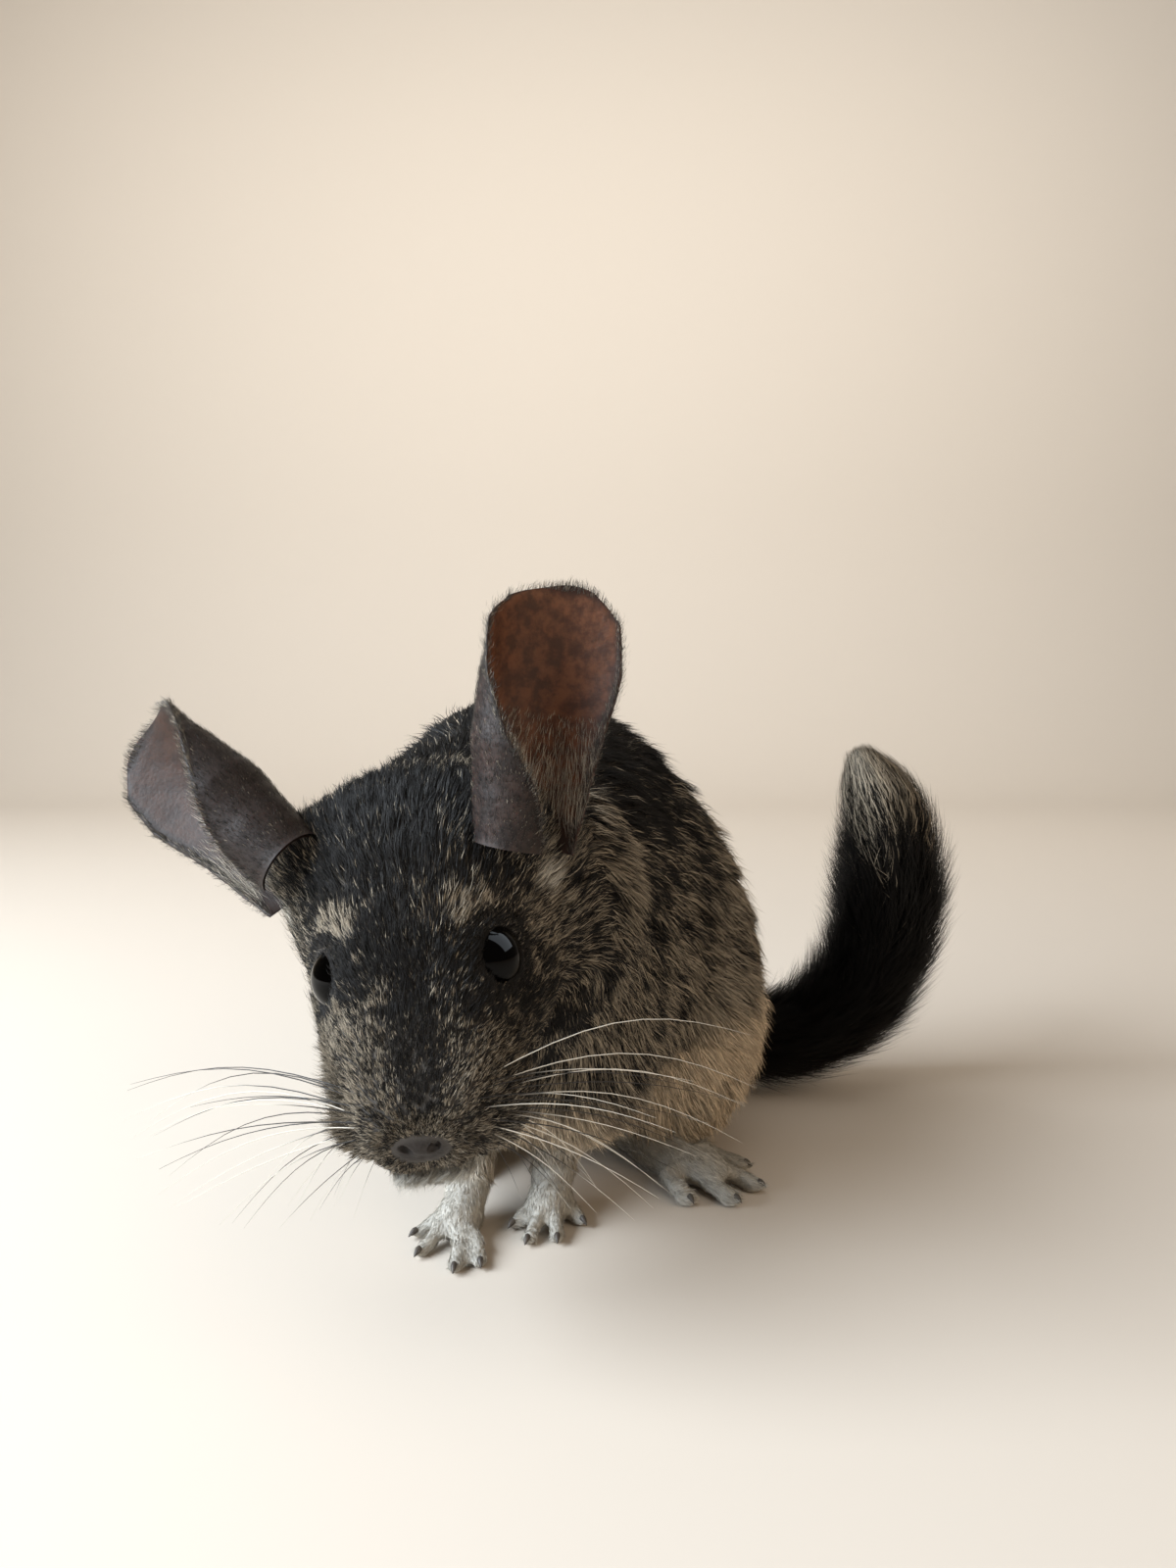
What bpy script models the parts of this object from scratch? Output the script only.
"""A life-size chinchilla, crouched on four feet with its head lowered and its tail curled up.

The animal faces -Y, its left side is +X and the floor is z = 0. Sizes are written in
millimetres and turned into metres by MM. Soft forms are lofts and egg shapes that are fused
by a voxel remesh, then parted into named nodes by thin cuts. The outer surface of each node
is where the tips of the coat lie.
"""

import math
import random

import bmesh
import bpy
from mathutils import Matrix, Vector

MM = 0.001
GAP = 0.3 * MM
WELD = 0.0002 * MM

# The head has its own frame: x to the animal's left, -y to the nose, z to the crown.
# Its origin is midway between the eyes.
HEAD_ORIGIN = Vector((-9.2, -91.8, 75.4)) * MM
HEAD_YAW = math.radians(24)
HEAD_PITCH = math.radians(38)
HEAD_ROLL = math.radians(-11.5)

EYE_RADIUS = 7.4 * MM
EYE_PLACE = Vector((13.6, -1.0, 0.8)) * MM
LID_THICKNESS = 1.3 * MM

HEAD_VOXEL = 0.9 * MM
HEAD_TRIANGLES = 2100
CORE_VOXEL = 2.2 * MM
CORE_TRIANGLES = 2500
PAW_VOXEL = 1.0 * MM
FOREPAW_TRIANGLES = 560
HINDFOOT_TRIANGLES = 560

EYE_AXIS = Vector((0.80, -0.42, 0.42))
LID_SLIT = (6.6, 5.6)
MOUTH_WIDTH = 21.0
MOUTH_LEVEL = -20.5
MOUTH_GROOVE = 0.6 * MM

EAR_LENGTH = 53.5 * MM
EAR_WALL = 1.2 * MM
EAR_BASE = Vector((23.0, 23.0, 8.0)) * MM
EAR_ROWS = 13
EAR_COLUMNS = 12
EAR_CURL = 1.35
EAR_BOW = 3.0 * MM
EAR_TIP_ROUND = 0.8 * MM
# Lean to the side, rise over the line of the back of the head, and turn of the opening outward.
EAR_POSE = {"ear_left": (19, 48, -10), "ear_right": (46, 24, -38)}
# Share of the ear's length, then the width of the sheet, its whole curl and the curl's start.
EAR_WIDTH = (
    (0, 46), (0.15, 49), (0.35, 49), (0.6, 43), (0.81, 34), (0.885, 28), (0.925, 23.5), (0.96, 17.5),
    (0.98, 13), (1, 8.5),
)
EAR_TURN = ((0, 290), (0.2, 250), (0.4, 195), (0.6, 150), (0.8, 105), (0.92, 65), (1, 12))
EAR_START = ((0, -50), (0.4, -35), (0.7, -28), (0.9, -18), (1, -3))
EAR_SHIFT = ((0, 0), (0.35, 0), (0.7, 2.5), (1, 3))

# Where the head ends and where the neck ends: a point and a direction toward the tail.
HEAD_CUT = (Vector((-17, -62, 98)) * MM, Vector((0, 1, 0.05)))
NECK_CUT = (Vector((-12, -44, 84)) * MM, Vector((0, 0.91, -0.41)))

# The spine of the tail and how far its hair reaches, both from root to tip.
TAIL_PATH = (
    (-6, 48, 36), (2, 57, 28), (12, 64, 21), (22, 69, 17), (32, 72.5, 17), (42, 76, 19.5),
    (53, 80, 28), (61, 83, 40), (65, 84.5, 54), (65.5, 84.5, 67), (65, 84, 80),
    (62.5, 83.4, 92), (59, 82, 101), (55.5, 80.5, 109),
)
TAIL_OUTLINE = (10, 13, 15, 16.5, 17, 17.5, 18.5, 20, 20.5, 20, 18.5, 15.5, 11, 3.5)
# The hair of the tail: flat tapered locks in rows round a core.
CORE_SHARE = 0.48
LOCK_ROWS = 9
LOCKS_AROUND = 7
LOCK_LENGTH = 37.0 * MM
LOCK_WIDTH = 13.5 * MM
LOCK_THICKNESS = 4.6 * MM
LOCK_ROOT = 0.21
LOCK_SEED = 7
LOCK_START = 0.05
LOCK_END = 0.84
# Along a lock: the share of its length, then of its width and of its thickness.
LOCK_SHAPE = ((0, 0.6, 1.0), (0.38, 1.0, 0.9), (0.74, 0.72, 0.5), (1, 0, 0))
CORE_RINGS = 14
CORE_END = 0.93
TAIL_CUT = 6
FORM_RINGS = 12
FORM_LEAST = 14.0 * MM

HAUNCH = {"left": (13, 17, 38), "right": (-60, 20, 38)}
HAUNCH_SIZE = (29, 38, 39)

# Each foot stands on the floor: wrist or heel, heading, and its toes as (fan angle, length).
FOREPAW = {
    "left": {
        "wrist": (-4, -31, 11),
        "heading": 12,
        "toes": ((-27, 15.5), (-7, 21), (11, 19.5), (38, 12.5)),
        "palm": (11, 5.6, 9),
        "toe_radius": 1.9,
        "triangles": FOREPAW_TRIANGLES,
        "leg": (((-4, -33, 7), (-4, -30, 16), (6, -26, 34)), (5.2, 6.5, 13)),
    },
    "right": {
        "wrist": (-20.5, -46, 12),
        "heading": 8,
        "toes": ((-38, 14), (-15, 20), (10, 25), (23, 23)),
        "palm": (12, 5.6, 9),
        "toe_radius": 1.9,
        "triangles": FOREPAW_TRIANGLES,
        "leg": (((-20.5, -48, 7), (-21, -44, 16), (-28, -34, 34)), (5.2, 6.5, 13)),
    },
}
HINDFOOT = {
    "left": {
        "wrist": (2, 6, 10),
        "heading": 64.5,
        "toes": ((-20, 36), (-6, 42), (9, 41), (24, 33)),
        "palm": (30, 7.2, 10),
        "toe_radius": 2.5,
        "triangles": HINDFOOT_TRIANGLES,
        "leg": (((4, 5, 8), (12, 4, 14), (22, 4, 26)), (6.5, 8, 12)),
    },
    "right": {
        "wrist": (-31, 12, 10),
        "heading": -17,
        "toes": ((-24, 33), (-9, 41), (6, 42), (20, 36)),
        "palm": (30, 7.2, 10),
        "toe_radius": 2.5,
        "triangles": HINDFOOT_TRIANGLES,
        "leg": (((-31, 10, 8), (-34, 10, 14), (-40, 8, 26)), (6.5, 8, 12)),
    },
}

COLOURS = {
    "head": ((0.055, 0.052, 0.050), 0.85),
    "neck": ((0.065, 0.062, 0.060), 0.85),
    "torso": ((0.075, 0.072, 0.070), 0.85),
    "haunch_left": ((0.11, 0.10, 0.09), 0.85),
    "haunch_right": ((0.11, 0.10, 0.09), 0.85),
    "ear_left": ((0.075, 0.040, 0.028), 0.6),
    "ear_right": ((0.075, 0.040, 0.028), 0.6),
    "eye_left": ((0.004, 0.004, 0.004), 0.05),
    "eye_right": ((0.004, 0.004, 0.004), 0.05),
    "foreleg_left": ((0.40, 0.36, 0.30), 0.85),
    "foreleg_right": ((0.50, 0.48, 0.45), 0.85),
    "forepaw_left": ((0.50, 0.48, 0.45), 0.8),
    "forepaw_right": ((0.50, 0.48, 0.45), 0.8),
    "hindfoot_left": ((0.38, 0.36, 0.34), 0.8),
    "hindfoot_right": ((0.38, 0.36, 0.34), 0.8),
    "tail_base": ((0.030, 0.026, 0.024), 0.85),
    "tail_end": ((0.028, 0.025, 0.023), 0.85),
}

# Rings of the head: y, half width, level of the widest point, crown line, jaw line.
HEAD_RINGS = (
    (-36.0, 5.0, -9.5, -6.0, -13.0),
    (-34.5, 9.5, -10.0, -3.5, -18.0),
    (-31.5, 14.5, -11.0, 0.0, -22.0),
    (-26.0, 18.0, -11.5, 4.0, -24.5),
    (-20.0, 19.6, -11.5, 8.0, -26.0),
    (-12.0, 20.6, -11.0, 11.5, -27.5),
    (-4.0, 21.8, -10.0, 15.0, -28.5),
    (4.0, 24.5, -9.0, 18.0, -29.0),
    (12.0, 28.0, -8.0, 20.5, -29.5),
    (20.0, 31.0, -7.0, 21.5, -29.0),
    (28.0, 32.0, -6.0, 21.5, -27.0),
    (36.0, 30.0, -5.0, 19.5, -23.0),
    (44.0, 24.0, -4.0, 15.0, -16.0),
)

# Rings of the trunk: y, x of the spine, half width, level of the widest point, back, belly.
TRUNK_RINGS = (
    (-62.0, -13.0, 18.0, 60.0, 90.0, 40.0),
    (-54.0, -15.0, 32.0, 59.0, 107.0, 28.0),
    (-42.0, -18.0, 41.0, 56.0, 116.0, 20.0),
    (-25.0, -22.0, 47.0, 53.0, 124.0, 14.0),
    (-5.0, -25.0, 51.0, 50.0, 129.0, 9.0),
    (15.0, -23.0, 54.0, 49.0, 126.0, 7.0),
    (32.0, -17.0, 51.0, 47.0, 112.0, 7.0),
    (46.0, -10.0, 42.0, 43.0, 90.0, 9.0),
    (56.0, -4.0, 30.0, 38.0, 67.0, 13.0),
    (62.0, 0.0, 14.0, 32.0, 46.0, 20.0),
)


def head_matrix():
    """The head's turn and place in the animal's frame."""
    turn = (
        Matrix.Rotation(HEAD_YAW, 4, "Z")
        @ Matrix.Rotation(HEAD_PITCH, 4, "X")
        @ Matrix.Rotation(HEAD_ROLL, 4, "Y")
    )
    return Matrix.Translation(HEAD_ORIGIN) @ turn


def clear_scene():
    for thing in list(bpy.data.objects):
        bpy.data.objects.remove(thing)


def collection(name):
    made = bpy.data.collections.new(name)
    bpy.context.scene.collection.children.link(made)
    return made


def material(name, colour, roughness):
    made = bpy.data.materials.new(name)
    made.use_nodes = True
    shader = made.node_tree.nodes["Principled BSDF"]
    shader.inputs["Base Color"].default_value = (*colour, 1)
    shader.inputs["Roughness"].default_value = roughness
    shader.inputs["Metallic"].default_value = 0.0
    return made


def object_from(name, bm, home):
    """A new object that holds this bmesh, which is freed."""
    mesh = bpy.data.meshes.new(name)
    bm.to_mesh(mesh)
    bm.free()
    made = bpy.data.objects.new(name, mesh)
    home.objects.link(made)
    return made


def settle(thing):
    """Applies the object's modifiers and its place, and leaves a triangle mesh in world space."""
    bpy.context.view_layer.update()
    graph = bpy.context.evaluated_depsgraph_get()
    mesh = bpy.data.meshes.new_from_object(thing.evaluated_get(graph))
    mesh.transform(thing.matrix_world)
    thing.modifiers.clear()
    thing.matrix_world = Matrix.Identity(4)
    thing.data = mesh
    bm = bmesh.new()
    bm.from_mesh(mesh)
    bmesh.ops.triangulate(bm, faces=bm.faces)
    bm.to_mesh(mesh)
    bm.free()
    return thing


def add_egg(bm, centre, radii, frame=None, turn=None, rows=16):
    """Adds an egg shape: a sphere stretched to three radii, in millimetres."""
    place = (frame or Matrix.Identity(4)) @ Matrix.Translation(Vector(centre) * MM)
    if turn is not None:
        place = place @ turn
    size = Matrix.Diagonal((*(Vector(radii) * MM), 1))
    bmesh.ops.create_uvsphere(
        bm, u_segments=rows * 3 // 2, v_segments=rows, radius=1, matrix=place @ size
    )


def add_limb(bm, points, radii, frame=None, beads=6):
    """Adds a tapered limb: overlapping beads along straight runs between points, in millimetres."""
    for start, end, first, last in zip(points, points[1:], radii, radii[1:]):
        for k in range(beads + 1):
            share = k / beads
            centre = Vector(start).lerp(Vector(end), share)
            radius = first + (last - first) * share
            add_egg(bm, centre, (radius, radius, radius), frame, rows=10)


def add_tube(bm, points, radii, sides=8, flatness=1.0):
    """Adds a closed tube along points in metres, with rounded-off flat ends."""
    points = [Vector(p) for p in points]
    ahead = [(b - a).normalized() for a, b in zip(points, points[1:])]
    ahead.append(ahead[-1])
    side = ahead[0].orthogonal().normalized()
    rings = []
    for k, (point, radius) in enumerate(zip(points, radii)):
        run = (ahead[k] + ahead[max(k - 1, 0)]).normalized()
        side = (side - run * side.dot(run)).normalized()
        lift = run.cross(side)
        ring = []
        for j in range(sides):
            angle = 2 * math.pi * j / sides
            ring.append(
                point + (side * math.cos(angle) + lift * math.sin(angle) * flatness) * radius
            )
        rings.append(ring)
    add_loft(bm, rings)


def ring_points(half_width, middle, top, bottom, count=28, squareness=2.3):
    """Points (x, z) of an upright oval whose upper and lower halves have their own heights."""
    power = 2 / squareness
    found = []
    for k in range(count):
        angle = 2 * math.pi * k / count
        c, s = math.cos(angle), math.sin(angle)
        x = half_width * math.copysign(abs(c) ** power, c)
        height = top - middle if s > 0 else middle - bottom
        found.append((x, middle + height * math.copysign(abs(s) ** power, s)))
    return found


def add_loft(bm, rings, place=None):
    """Adds a closed skin over rings of points that all have the same count."""
    place = place or Matrix.Identity(4)
    rows = [[bm.verts.new(place @ Vector(p)) for p in ring] for ring in rings]
    count = len(rows[0])
    for near, far in zip(rows, rows[1:]):
        for k in range(count):
            j = (k + 1) % count
            bm.faces.new((near[k], near[j], far[j], far[k]))
    bm.faces.new(rows[0][::-1])
    bm.faces.new(rows[-1])


def along(stops, share):
    """The value at a share of the way through (share, value) stops, with straight runs between."""
    for (first, low), (last, high) in zip(stops, stops[1:]):
        if share <= last:
            return low + (high - low) * (share - first) / (last - first)
    return stops[-1][1]


def fuse(name, bm, home, voxel, rounds, triangles):
    """Turns overlapping closed shapes into one smooth skin with about this many triangles."""
    bmesh.ops.recalc_face_normals(bm, faces=bm.faces)
    thing = object_from(name, bm, home)
    remesh = thing.modifiers.new("Fuse", "REMESH")
    remesh.mode = "VOXEL"
    remesh.voxel_size = voxel
    smooth = thing.modifiers.new("Smooth", "SMOOTH")
    smooth.factor = 0.5
    smooth.iterations = rounds
    settle(thing)
    if triangles:
        decimate = thing.modifiers.new("Fewer", "DECIMATE")
        decimate.ratio = min(1.0, triangles / len(thing.data.polygons))
        settle(thing)
    return thing


def copy_of(thing, name, home):
    made = bpy.data.objects.new(name, thing.data.copy())
    home.objects.link(made)
    return made


def swollen(thing, home, by=GAP):
    """A helper copy of a settled object, moved out along its normals."""
    made = copy_of(thing, thing.name + "_cutter", home)
    bm = bmesh.new()
    bm.from_mesh(made.data)
    bm.normal_update()
    moves = [(v, v.normal * by) for v in bm.verts]
    for vert, move in moves:
        vert.co += move
    bm.to_mesh(made.data)
    bm.free()
    return hide(made)


def hide(helper):
    helper.hide_render = True
    helper.display_type = "WIRE"
    return helper


def combine(thing, other, operation, solver="MANIFOLD"):
    """Applies one Boolean to a settled object."""
    modifier = thing.modifiers.new("Combine", "BOOLEAN")
    modifier.operation = operation
    modifier.object = other
    modifier.solver = solver
    return settle(thing)


def keep_largest(thing):
    """Leaves only the largest closed surface of the object."""
    bm = bmesh.new()
    bm.from_mesh(thing.data)
    bmesh.ops.remove_doubles(bm, verts=bm.verts, dist=WELD)
    islands, seen = [], set()
    for start in bm.faces:
        if start in seen:
            continue
        island, queue = [], [start]
        seen.add(start)
        while queue:
            face = queue.pop()
            island.append(face)
            for edge in face.edges:
                for near in edge.link_faces:
                    if near not in seen:
                        seen.add(near)
                        queue.append(near)
        islands.append(island)
    islands.sort(key=lambda faces: sum(f.calc_area() for f in faces))
    scraps = [f for island in islands[:-1] for f in island]
    bmesh.ops.delete(bm, geom=scraps, context="FACES")
    loose = [v for v in bm.verts if not v.link_faces]
    bmesh.ops.delete(bm, geom=loose, context="VERTS")
    bm.to_mesh(thing.data)
    bm.free()
    return thing


def sliced(thing, name, home, point, normal):
    """A copy of what lies behind a plane, closed with a flat face."""
    made = copy_of(thing, name, home)
    bm = bmesh.new()
    bm.from_mesh(made.data)
    geometry = bm.verts[:] + bm.edges[:] + bm.faces[:]
    bmesh.ops.bisect_plane(bm, geom=geometry, plane_co=point, plane_no=normal, clear_outer=True)
    rim = [edge for edge in bm.edges if edge.is_boundary]
    bmesh.ops.holes_fill(bm, edges=rim)
    bmesh.ops.triangulate(bm, faces=bm.faces)
    bm.to_mesh(made.data)
    bm.free()
    return made


def parted(thing, front_name, back_name, home, point, normal):
    """Parts an object at a plane with a thin cut: the piece behind the plane, and the one ahead."""
    normal = Vector(normal).normalized()
    half = normal * GAP / 2
    behind = sliced(thing, back_name, home, point - half, normal)
    ahead = sliced(thing, front_name, home, point + half, -normal)
    bpy.data.objects.remove(thing)
    return ahead, behind


def add_head_shapes(bm, fine):
    """The skull, cheeks, muzzle and chin. The fine ones matter only on the head itself."""
    frame = head_matrix()
    rings = []
    for y, half_width, middle, top, bottom in HEAD_RINGS:
        oval = ring_points(half_width, middle, top, bottom)
        rings.append([Vector((x, y, z)) * MM for x, z in oval])
    add_loft(bm, rings, frame)
    for side in (-1, 1):
        add_egg(bm, (side * 14, 10, -14), (13, 22, 14), frame)
        add_egg(bm, (side * 18, 25, 6), (14, 14, 13.5), frame)
        if not fine:
            continue
        add_egg(bm, (side * 11, -23, -13), (10, 11, 9.5), frame)
        add_egg(bm, (side * 4.5, -32.5, -14.5), (4.6, 4, 4), frame)
        add_egg(bm, eye_spot(side), [(EYE_RADIUS + LID_THICKNESS) / MM] * 3, frame)
    if fine:
        add_egg(bm, (0, -32.5, -8.5), (5.6, 4.6, 4.2), frame)
        add_egg(bm, (0, -24, -21.5), (8, 8, 5.5), frame)


def eye_spot(side):
    place = EYE_PLACE / MM
    return Vector((side * place.x, place.y, place.z))


def add_neck_shapes(bm):
    add_egg(bm, (-16, -62, 84), (34, 25, 31))
    add_egg(bm, (-16, -48, 78), (40, 29, 41))


def add_trunk_shapes(bm):
    rings = []
    for y, spine, half_width, middle, top, bottom in TRUNK_RINGS:
        oval = ring_points(half_width, middle, top, bottom, squareness=2.05)
        rings.append([Vector((spine + x, y, z)) * MM for x, z in oval])
    add_loft(bm, rings)
    for side in ("left", "right"):
        add_egg(bm, HAUNCH[side], [size - 3.5 for size in HAUNCH_SIZE])
    for side in (-1, 1):
        add_egg(bm, (-16 + side * 20, -33, 47), (20, 24, 27))


def eye_ball(name, side, home):
    bm = bmesh.new()
    radius = EYE_RADIUS / MM
    add_egg(bm, eye_spot(side), (radius, radius, radius), head_matrix(), rows=11)
    return settle(object_from(name, bm, home))


def eye_opening(side, cutters):
    """The cutter of the socket and of the slit between the lids, as one closed shape."""
    frame = head_matrix()
    place = eye_spot(side)
    look = Vector((side * EYE_AXIS.x, EYE_AXIS.y, EYE_AXIS.z)).normalized()
    turn = look.to_track_quat("Z", "Y").to_matrix().to_4x4()
    bm = bmesh.new()
    socket = (EYE_RADIUS + GAP) / MM
    add_egg(bm, place, (socket, socket, socket), frame, rows=11)
    hole = object_from("socket", bm, cutters)
    settle(hole)
    bm = bmesh.new()
    along_look = place + look * (EYE_RADIUS / MM) * 0.95
    add_egg(bm, along_look, (LID_SLIT[0], LID_SLIT[1], 7.0), frame, turn, rows=10)
    slit = hide(object_from("slit", bm, cutters))
    settle(slit)
    combine(hole, slit, "UNION")
    bpy.data.objects.remove(slit)
    return hide(hole)


def face_grooves(head, cutters):
    """The nostrils, the split of the upper lip and the line of the mouth, cut into the head."""
    frame = head_matrix()
    for side in (-1, 1):
        bm = bmesh.new()
        slant = Matrix.Rotation(side * math.radians(35), 4, "Y")
        add_egg(bm, (side * 2.7, -36.6, -8.3), (1.0, 2.2, 1.7), frame, slant, rows=8)
        nostril = hide(object_from("nostril", bm, cutters))
        combine(head, settle(nostril), "DIFFERENCE")
        bpy.data.objects.remove(nostril)
    lines = [[(0, -38, -10.5), (0, -38, -13), (0, -37, -16), (0, -34.5, -18.5)]]
    lines.append([
        (math.sin(a) * MOUTH_WIDTH / 2, -16 - math.cos(a) * 19, MOUTH_LEVEL + abs(math.sin(a)) * 2)
        for a in [math.radians(-75 + 15 * k) for k in range(11)]
    ])
    for number, line in enumerate(lines):
        found = []
        for point in line:
            spot = frame @ (Vector(point) * MM)
            done, near, normal, index = head.closest_point_on_mesh(spot)
            found.append(near)
        bm = bmesh.new()
        add_tube(bm, found, [MOUTH_GROOVE] * len(found), sides=6)
        bmesh.ops.recalc_face_normals(bm, faces=bm.faces)
        groove = hide(object_from("groove", bm, cutters))
        combine(head, settle(groove), "DIFFERENCE")
        bpy.data.objects.remove(groove)
    return keep_largest(head)


def ear(name, side, home):
    """A scoop: a sheet that is almost flat at its outer edge and curls round at its inner edge."""
    frame = head_matrix()
    lean, rise, facing = EAR_POSE[name]
    lean, rise, facing = math.radians(lean), math.radians(rise), math.radians(facing)
    axis = Vector(
        (side * math.sin(lean), math.cos(lean) * math.cos(rise), math.cos(lean) * math.sin(rise))
    )
    front = Vector((0, -1, 0)) - axis * -axis.y
    front.normalize()
    front = Matrix.Rotation(side * facing, 3, axis) @ front
    out = axis.cross(front) * side
    if out.x * side < 0:
        out = -out
    base = Vector((side * EAR_BASE.x, EAR_BASE.y, EAR_BASE.z))
    bm = bmesh.new()
    rows = []
    for r in range(EAR_ROWS + 1):
        share = 1 - (1 - r / EAR_ROWS) ** 1.3
        height = share * EAR_LENGTH
        width = along(EAR_WIDTH, share) * MM
        turn = math.radians(along(EAR_TURN, share))
        start = math.radians(along(EAR_START, share))
        bow = EAR_BOW * math.sin(math.pi * share)
        steps = 60
        spots, p, q, back = [(0.0, 0.0)], 0.0, 0.0, None
        for k in range(steps):
            t = (k + 0.5) / steps
            angle = start + turn * t ** EAR_CURL
            p += math.cos(angle) * width / steps
            q += math.sin(angle) * width / steps
            if back is None and angle >= 0:
                back = (p, q)
            spots.append((p, q))
        back = back or spots[-1]
        shift = along(EAR_SHIFT, share) * MM
        row = []
        for c in range(EAR_COLUMNS + 1):
            p, q = spots[round(c * steps / EAR_COLUMNS)]
            spot = base + axis * height - out * (p - back[0] - shift) + front * (q - back[1] - bow)
            edge = abs(2 * c / EAR_COLUMNS - 1)
            spot -= axis * EAR_TIP_ROUND * (edge ** 2) * share ** 3
            row.append(bm.verts.new(frame @ spot))
        rows.append(row)
    for near, far in zip(rows, rows[1:]):
        for k in range(EAR_COLUMNS):
            bm.faces.new((near[k], near[k + 1], far[k + 1], far[k]))
    thing = object_from(name, bm, home)
    wall = thing.modifiers.new("Wall", "SOLIDIFY")
    wall.thickness = EAR_WALL
    wall.offset = 0
    settle(thing)
    bm = bmesh.new()
    bm.from_mesh(thing.data)
    bmesh.ops.recalc_face_normals(bm, faces=bm.faces)
    bm.to_mesh(thing.data)
    bm.free()
    return thing


def paw(name, home, wrist, heading, toes, palm, toe_radius, triangles, leg):
    """A foot on the floor: a palm, a fan of toes with small claws, and the limb above it."""
    bm = bmesh.new()
    turn = Matrix.Translation(Vector(wrist[:2] + (0,)) * MM)
    turn = turn @ Matrix.Rotation(math.radians(heading), 4, "Z")
    knuckles, width, depth = palm
    add_egg(bm, (0, -knuckles * 0.62, depth * 0.5), (width, knuckles * 0.62, depth * 0.66), turn)
    for fan, length in toes:
        fan = math.radians(fan)
        way = Vector((math.sin(fan), -math.cos(fan), 0))
        root = Vector((0, -knuckles * 0.62, depth * 0.55)) + way * knuckles * 0.25
        bend = way * (length * 0.72) + Vector((0, 0, toe_radius * 1.5))
        tip = way * length + Vector((0, 0, toe_radius * 0.72))
        add_limb(bm, (root, bend, tip), (toe_radius * 1.15, toe_radius, toe_radius * 0.92), turn)
        add_egg(bm, tip - Vector((0, 0, 0.35)), (toe_radius * 1.15,) * 2 + (toe_radius * 0.9,), turn)
        claw = tip + way * toe_radius * 0.9 + Vector((0, 0, toe_radius * 0.35))
        add_limb(bm, (claw, claw + way * 1.6), (0.75, 0.6), turn, beads=2)
    points, radii = leg
    add_limb(bm, points, radii)
    whole = fuse(name, bm, home, PAW_VOXEL, 2, triangles)
    flat = sliced(whole, name + "_flat", home, Vector((0, 0, 0)), Vector((0, 0, -1)))
    bpy.data.objects.remove(whole)
    return flat


def tail_spot(distance):
    """The point, the way ahead and the hair's reach at a distance along the tail, in metres."""
    path = [Vector(p) * MM for p in TAIL_PATH]
    for k in range(len(path) - 1):
        step = (path[k + 1] - path[k]).length
        if distance <= step or k == len(path) - 2:
            share = distance / step
            reach = TAIL_OUTLINE[k] + (TAIL_OUTLINE[k + 1] - TAIL_OUTLINE[k]) * min(share, 1)
            before = path[k] - path[max(k - 1, 0)] if k else path[1] - path[0]
            run = path[k + 1] - path[k]
            after = path[k + 2] - path[k + 1] if k + 2 < len(path) else run
            start = (before.normalized() + run.normalized()).normalized()
            end = (run.normalized() + after.normalized()).normalized()
            ahead = start.lerp(end, min(share, 1)).normalized()
            return path[k].lerp(path[k + 1], share), ahead, reach * MM
        distance -= step
    raise ValueError("a tail has at least two points")


def tail_distance(index):
    """How far along the tail a point of its path lies, in metres."""
    path = [Vector(p) * MM for p in TAIL_PATH[: index + 1]]
    return sum((b - a).length for a, b in zip(path, path[1:]))


def tail_sides(ahead):
    """Two directions square to the tail, the same way round all along it."""
    side = Vector((0.35, -0.94, 0.0))
    side = (side - ahead * side.dot(ahead)).normalized()
    return side, ahead.cross(side)


def lock_rise(reach, share):
    """How far a lock lies off the spine at a share of its length."""
    root = reach * LOCK_ROOT
    return root + (reach - root) * (1 - (1 - share) ** 1.5)


def add_lock(bm, distance, angle, length, width, thickness, draw):
    """Adds one flat lock that leaves the core, bends along the tail and tapers to its tip."""
    swing = draw.uniform(-0.25, 0.25)
    roll = draw.uniform(-0.35, 0.35)
    reach_share = draw.uniform(0.98, 1.12)
    rows = []
    tip = None
    for share, wide, thick in LOCK_SHAPE:
        place, ahead, reach = tail_spot(distance + length * share)
        side, lift = tail_sides(ahead)
        turn = angle + swing * share
        outward = side * math.cos(turn) + lift * math.sin(turn)
        around = lift * math.cos(turn) - side * math.sin(turn)
        across = around * math.cos(roll) + outward * math.sin(roll)
        over = outward * math.cos(roll) - around * math.sin(roll)
        spot = place + outward * lock_rise(reach * reach_share, share)
        if wide == 0:
            tip = spot
            continue
        half = across * width * wide / 2
        deep = over * thickness * thick / 2
        rows.append([bm.verts.new(spot + p) for p in (half, deep, -half, -deep)])
    bm.faces.new(rows[0][::-1])
    for near, far in zip(rows, rows[1:]):
        for k in range(4):
            bm.faces.new((near[k], near[(k + 1) % 4], far[(k + 1) % 4], far[k]))
    end = bm.verts.new(tip)
    for k in range(4):
        bm.faces.new((rows[-1][k], rows[-1][(k + 1) % 4], end))


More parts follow.
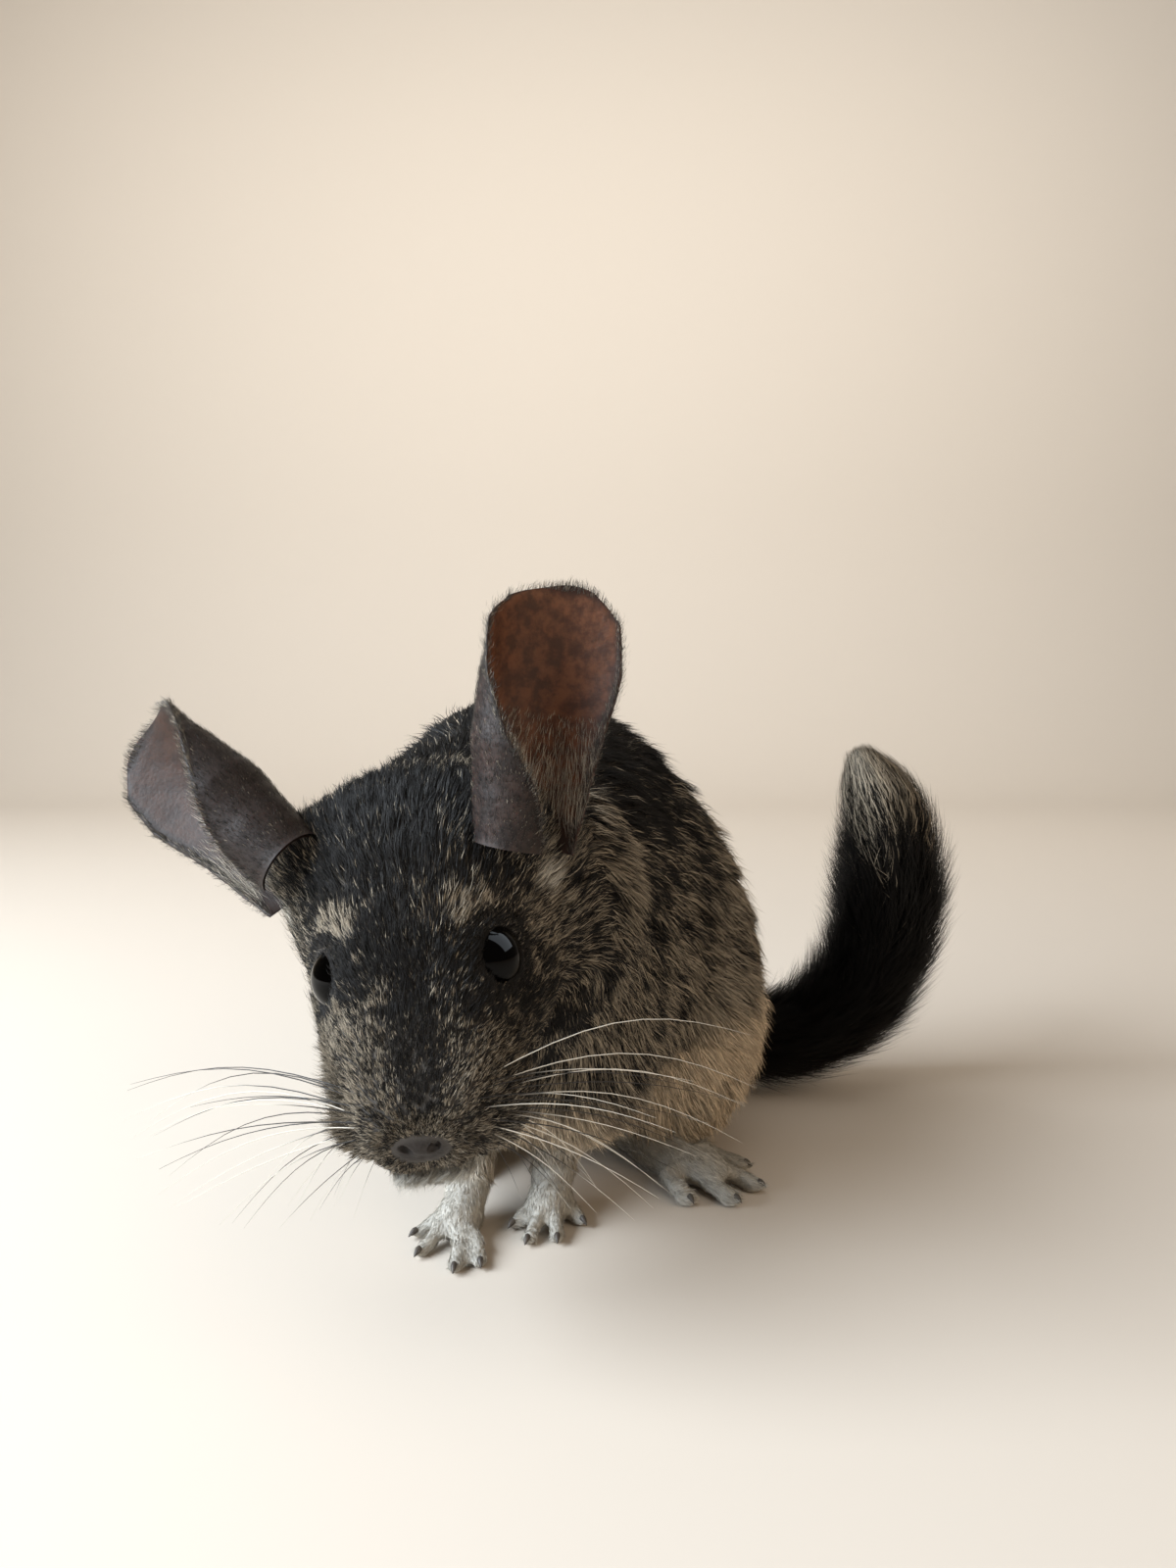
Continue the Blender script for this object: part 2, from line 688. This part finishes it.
def add_locks(locks):
    """Rows of locks all along the tail, as closed objects."""
    total = tail_distance(len(TAIL_PATH) - 1)
    draw = random.Random(LOCK_SEED)
    for row in range(LOCK_ROWS):
        start = total * (LOCK_START + (LOCK_END - LOCK_START) * row / (LOCK_ROWS - 1))
        for k in range(LOCKS_AROUND):
            angle = 2 * math.pi * (k + 0.5 * (row % 2) + draw.uniform(-0.16, 0.16)) / LOCKS_AROUND
            length = LOCK_LENGTH * draw.uniform(0.88, 1.12)
            bm = bmesh.new()
            add_lock(
                bm,
                start + draw.uniform(-1.5, 1.5) * MM,
                angle,
                min(length, total * 0.999 - start),
                LOCK_WIDTH * draw.uniform(0.85, 1.15),
                LOCK_THICKNESS * draw.uniform(0.85, 1.15),
                draw,
            )
            bmesh.ops.recalc_face_normals(bm, faces=bm.faces)
            hide(object_from("lock", bm, locks))


def tail_whole(parts, cutters):
    """The core of the tail with its locks, fused by one union."""
    total = tail_distance(len(TAIL_PATH) - 1)
    bm = bmesh.new()
    points, radii = [], []
    for k in range(CORE_RINGS + 1):
        place, ahead, reach = tail_spot(total * CORE_END * k / CORE_RINGS)
        points.append(place)
        radii.append(reach * CORE_SHARE)
    add_tube(bm, points, radii, sides=12)
    bmesh.ops.recalc_face_normals(bm, faces=bm.faces)
    tail = settle(object_from("tail_whole", bm, parts))
    locks = bpy.data.collections.new("locks")
    cutters.children.link(locks)
    add_locks(locks)
    union = tail.modifiers.new("Locks", "BOOLEAN")
    union.operation = "UNION"
    union.operand_type = "COLLECTION"
    union.collection = locks
    union.solver = "MANIFOLD"
    settle(tail)
    for lock in list(locks.objects):
        bpy.data.objects.remove(lock)
    return keep_largest(tail)


def tail_end_form(margin, cutters):
    """A closed form round the far length of the tail, for parting it from the near one.

    Its wall leaves the spine at the cut and rises as a lock that starts there would, so it
    passes between the locks rooted before the cut and those rooted after it.
    """
    begin = tail_distance(TAIL_CUT)
    total = tail_distance(len(TAIL_PATH) - 1)
    bm = bmesh.new()
    points, radii = [], []
    for k in range(FORM_RINGS + 1):
        distance = (total + LOCK_LENGTH - begin) * k / FORM_RINGS
        share = distance / LOCK_LENGTH
        place, ahead, reach = tail_spot(begin + distance)
        reach = max(reach, FORM_LEAST)
        points.append(place)
        radii.append(lock_rise(reach, min(share, 1)) + max(0, share - 1) * reach + margin)
    add_tube(bm, points, radii, sides=12)
    bmesh.ops.recalc_face_normals(bm, faces=bm.faces)
    return hide(settle(object_from("tail_form", bm, cutters)))


def paint(thing):
    colour, roughness = COLOURS[thing.name]
    thing.data.materials.clear()
    thing.data.materials.append(material(thing.name + "_coat", colour, roughness))


def carve(thing, body, cutters, operation="DIFFERENCE"):
    """Cuts a neighbour out of a piece and leaves a thin gap between the two."""
    cutter = swollen(body, cutters)
    combine(thing, cutter, operation)
    bpy.data.objects.remove(cutter)
    return keep_largest(thing)


def build_trunk(parts, cutters):
    """The head, neck, torso and haunches, which are parted out of one smooth form."""
    point, normal = HEAD_CUT[0], HEAD_CUT[1].normalized()
    bm = bmesh.new()
    add_head_shapes(bm, True)
    add_neck_shapes(bm)
    whole = fuse("head_whole", bm, parts, HEAD_VOXEL, 6, HEAD_TRIANGLES)
    head = sliced(whole, "head", parts, point - normal * GAP / 2, normal)
    bpy.data.objects.remove(whole)

    bm = bmesh.new()
    add_head_shapes(bm, False)
    add_neck_shapes(bm)
    add_trunk_shapes(bm)
    core = fuse("core", bm, parts, CORE_VOXEL, 14, CORE_TRIANGLES)
    rest = sliced(core, "rest", parts, point + normal * GAP / 2, -normal)
    bpy.data.objects.remove(core)
    torso, neck = parted(keep_largest(rest), "torso", "neck", parts, *NECK_CUT)
    keep_largest(neck)
    keep_largest(torso)
    haunches = []
    for side in ("left", "right"):
        bm = bmesh.new()
        add_egg(bm, HAUNCH[side], HAUNCH_SIZE, rows=10)
        haunch = settle(object_from("haunch_" + side, bm, parts))
        cutter = swollen(haunch, cutters)
        combine(haunch, torso, "INTERSECT")
        combine(torso, cutter, "DIFFERENCE")
        bpy.data.objects.remove(cutter)
        haunches.append(keep_largest(haunch))
    keep_largest(torso)
    return head, neck, torso, haunches


def build_feet(parts, cutters, bodies):
    for side in ("left", "right"):
        fore = paw("fore_" + side, parts, **FOREPAW[side])
        hind = paw("hind_" + side, parts, **HINDFOOT[side])
        hind.name = "hindfoot_" + side
        for body in bodies:
            carve(fore, body, cutters)
            carve(hind, body, cutters)
        wrist = Vector(FOREPAW[side]["wrist"]) * MM
        heading = math.radians(FOREPAW[side]["heading"])
        down = Vector((math.sin(heading) * 0.5, -math.cos(heading) * 0.5, -0.85))
        parted(fore, "forepaw_" + side, "foreleg_" + side, parts, wrist, down)


def build_tail(parts, cutters, bodies):
    """The tail in two lengths: the near one lies along the floor and the far one stands up."""
    whole = tail_whole(parts, cutters)
    near = sliced(whole, "tail_base", parts, Vector((0, 0, 0)), Vector((0, 0, -1)))
    bpy.data.objects.remove(whole)
    far = copy_of(near, "tail_end", parts)
    for piece, margin, operation in ((near, GAP / 2, "DIFFERENCE"), (far, -GAP / 2, "INTERSECT")):
        form = tail_end_form(margin, cutters)
        combine(piece, form, operation)
        bpy.data.objects.remove(form)
        keep_largest(piece)
        for body in bodies:
            carve(piece, body, cutters)


def build():
    clear_scene()
    parts = collection("chinchilla")
    cutters = collection("cutters")
    head, neck, torso, haunches = build_trunk(parts, cutters)
    for name, side in (("left", 1), ("right", -1)):
        opening = eye_opening(side, cutters)
        combine(head, opening, "DIFFERENCE")
        bpy.data.objects.remove(opening)
        eye_ball("eye_" + name, side, parts)
    face_grooves(head, cutters)
    build_feet(parts, cutters, [torso, neck, head, *haunches])
    build_tail(parts, cutters, [torso, *haunches])
    for name, side in (("left", 1), ("right", -1)):
        carve(ear("ear_" + name, side, parts), head, cutters)

    pieces = list(parts.objects)
    points = [v.co for piece in pieces for v in piece.data.vertices]
    low = [min(p[k] for p in points) for k in range(3)]
    high = [max(p[k] for p in points) for k in range(3)]
    shift = Vector((-(low[0] + high[0]) / 2, -(low[1] + high[1]) / 2, -low[2]))
    for piece in pieces:
        piece.data.transform(Matrix.Translation(shift))
        paint(piece)
        print(piece.name, len(piece.data.polygons))
    print("shift in mm", [round(c / MM, 3) for c in shift])


if __name__ == "__main__":
    build()
